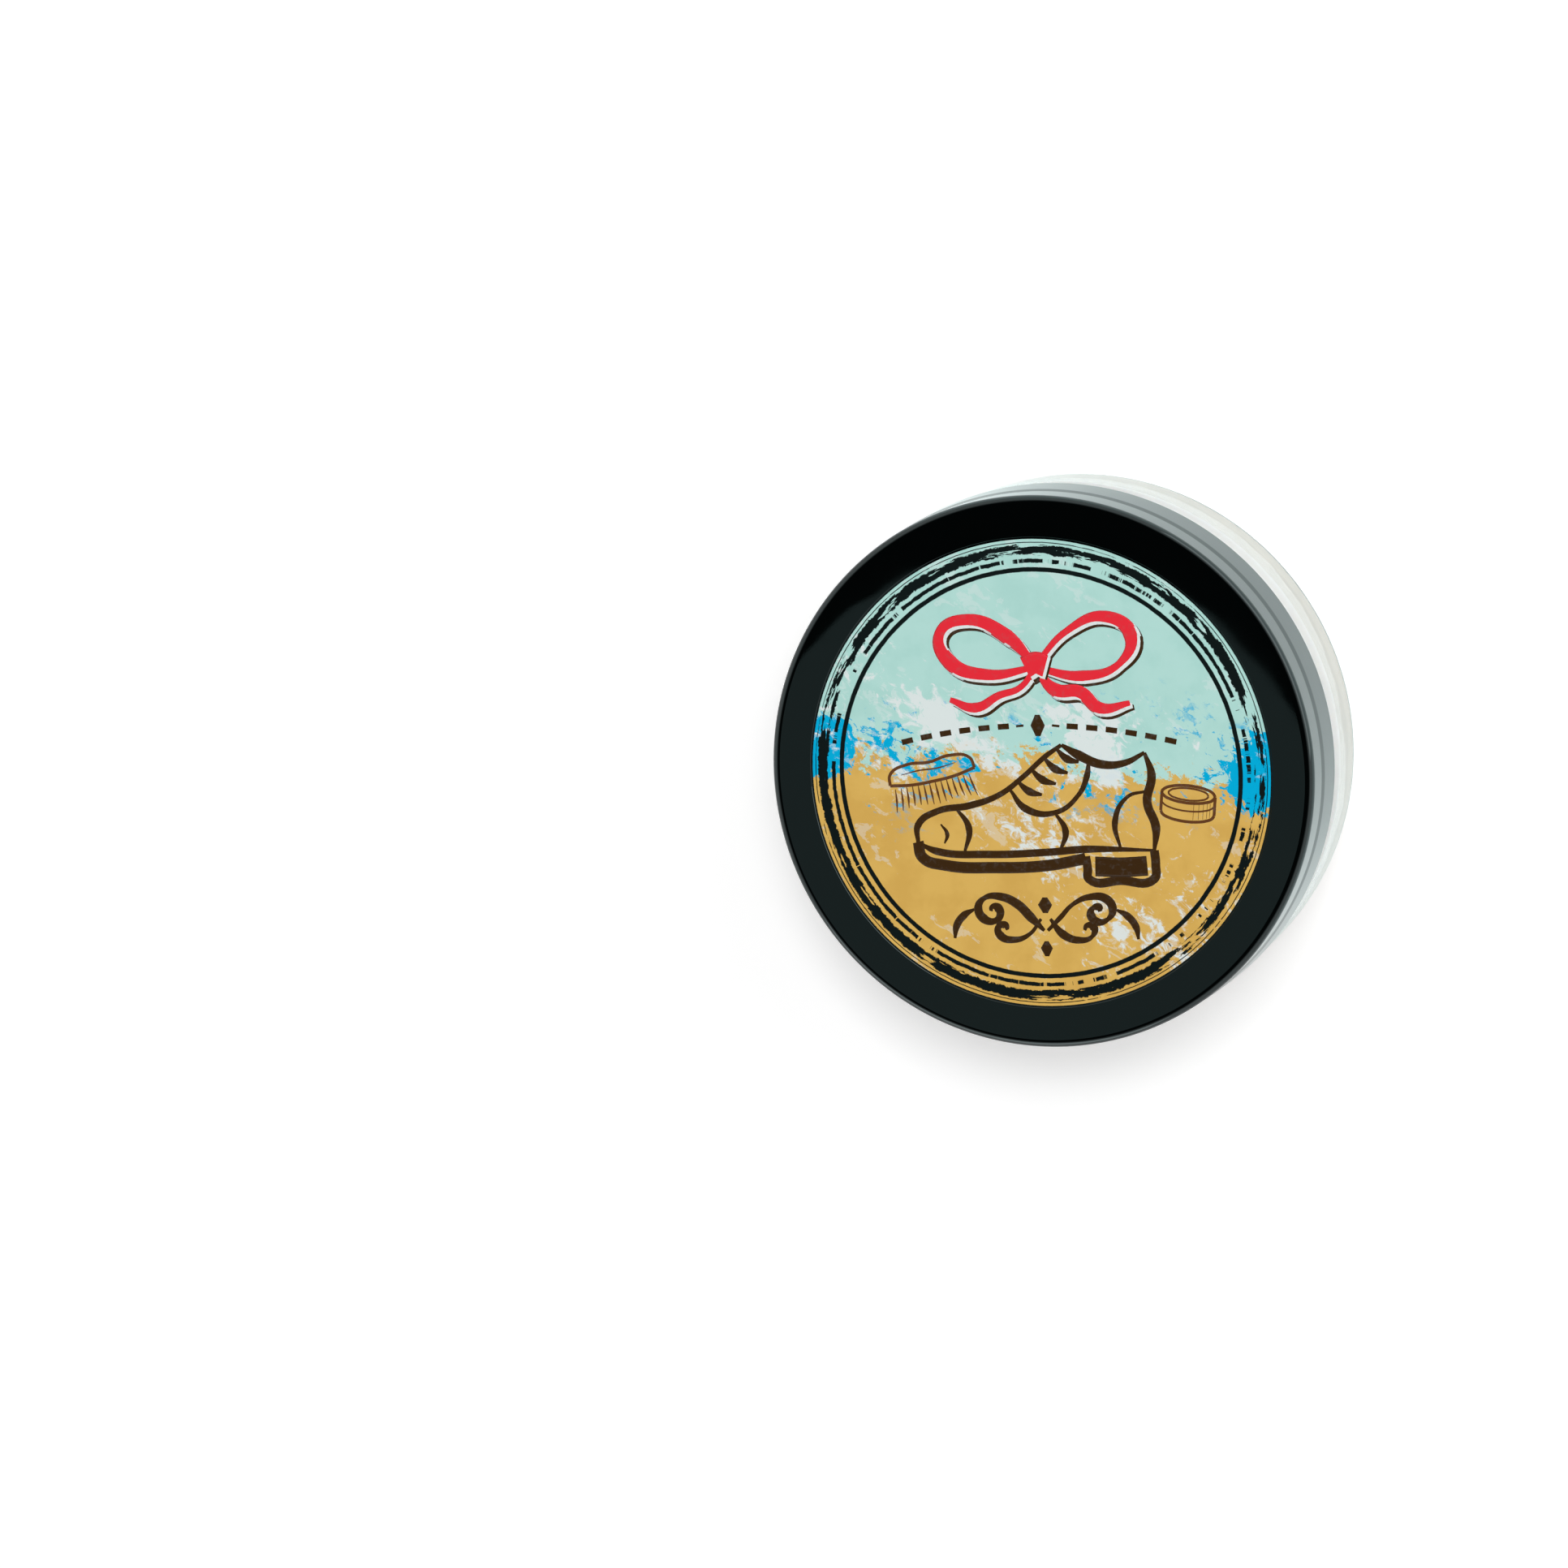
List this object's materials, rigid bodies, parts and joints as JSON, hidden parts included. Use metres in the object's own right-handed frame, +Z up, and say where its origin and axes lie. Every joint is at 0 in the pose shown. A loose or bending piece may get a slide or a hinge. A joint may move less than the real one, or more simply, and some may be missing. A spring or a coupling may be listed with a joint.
{
  "type": "screw jar of shoe polish",
  "caption": "Low round clear plastic screw jar filled with pale shoe wax, closed by a glossy black screw lid with a foam liner and a round printed label.",
  "frame": {"origin": "centre of the jar's foot, on the surface it stands on", "axes": "+Z up along the jar's axis through the lid; +Y towards the top of the label; +X to the label's right"},
  "size_m": [0.0728, 0.0728, 0.0289],
  "materials": {
    "clear_plastic": "water-clear moulded plastic, polished",
    "wax": "set wax, warm beige grey, satin with a chalky bloom",
    "foam": "closed-cell foam wad, smooth",
    "black_plastic": "glossy black moulding",
    "label_print": "satin print, mint above ochre"
  },
  "bodies": {
    "jar": {"jar_body": "clear_plastic", "wax_fill": "wax"},
    "liner": {"lid_liner": "foam"},
    "lid": {"lid_shell": "black_plastic", "lid_label": "label_print"}
  },
  "joints": [
    {"name": "lid_rise", "type": "slide", "parent": "jar", "child": "liner", "axis": [0, 0, 1], "range_m": [0, 0.0337]},
    {"name": "lid_turn", "type": "hinge", "parent": "liner", "child": "lid", "pos_m": [0, 0, 0.0265], "axis": [0, 0, 1], "range_deg": [0, 2880]}
  ],
  "couplings": [
    {"joint": "lid_rise", "follows": "lid_turn", "m_per_rad": 0.00066845}
  ]
}
